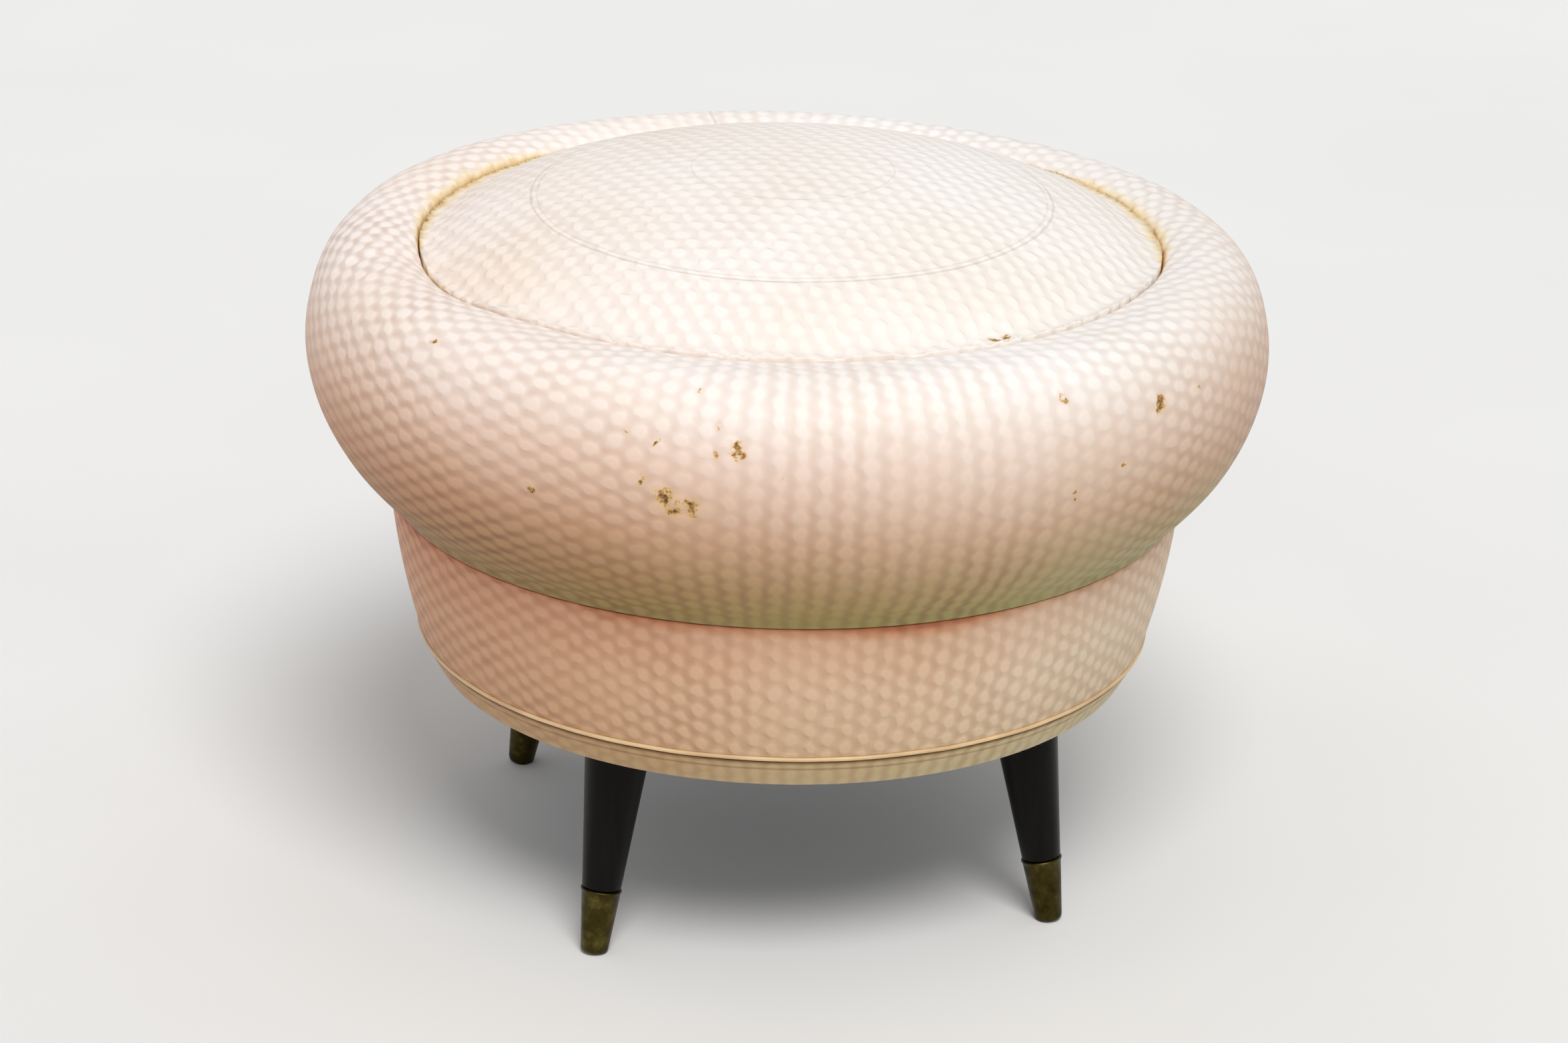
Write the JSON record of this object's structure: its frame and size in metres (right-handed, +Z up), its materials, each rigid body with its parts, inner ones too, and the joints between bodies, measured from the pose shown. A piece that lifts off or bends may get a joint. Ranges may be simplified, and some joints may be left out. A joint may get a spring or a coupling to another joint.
{
  "type": "footstool",
  "caption": "Round vinyl-covered footstool: a domed seat inside a soft rolled rim, on a tapered drum with a piped seam and splayed, tapered legs with brass ferrules.",
  "frame": {"origin": "on the floor, under the middle of the seat", "axes": "+Z up along the seat's axis, +X to the right and -Y to the front, with a leg on each diagonal"},
  "size_m": [0.5046, 0.5046, 0.386],
  "materials": {
    "cream_vinyl": "embossed cream vinyl leathercloth, satin, aged to beige",
    "welt_vinyl": "plain cream vinyl piping, satin",
    "band_vinyl": "plain cream vinyl, satin, darker with age",
    "foam": "open-cell foam, yellowed",
    "felt": "cotton felt",
    "hessian": "coarse woven hessian",
    "black_cambric": "thin black cambric",
    "board": "bare board",
    "softwood": "bare softwood",
    "black_lacquer": "turned wood, near-black satin lacquer",
    "plate_steel": "pressed steel, dull plating",
    "screw_steel": "plain steel, dull",
    "aged_brass": "drawn brass, dulled with age"
  },
  "bodies": {
    "root": {"seat_cover": "cream_vinyl", "crown_felt_large": "felt", "crown_felt_small": "felt", "seat_foam": "foam", "rim_cover": "cream_vinyl", "rim_foam": "foam", "crease_strip": "hessian", "deck_board": "board", "drum_cover": "cream_vinyl", "drum_wadding": "felt", "drum_hoop": "board", "base_board": "board", "seam_welt": "welt_vinyl", "base_band": "band_vinyl", "dust_cover": "black_cambric", "drum_post_rear_right": "softwood", "leg_plate_rear_right": "plate_steel", "leg_stud_rear_right": "screw_steel", "leg_rear_right": "black_lacquer", "ferrule_rear_right": "aged_brass", "drum_post_rear_left": "softwood", "leg_plate_rear_left": "plate_steel", "leg_stud_rear_left": "screw_steel", "leg_rear_left": "black_lacquer", "ferrule_rear_left": "aged_brass", "drum_post_front_left": "softwood", "leg_plate_front_left": "plate_steel", "leg_stud_front_left": "screw_steel", "leg_front_left": "black_lacquer", "ferrule_front_left": "aged_brass", "drum_post_front_right": "softwood", "leg_plate_front_right": "plate_steel", "leg_stud_front_right": "screw_steel", "leg_front_right": "black_lacquer", "ferrule_front_right": "aged_brass", "leg_plate_screws": "screw_steel", "post_screws": "screw_steel"}
  },
  "joints": []
}
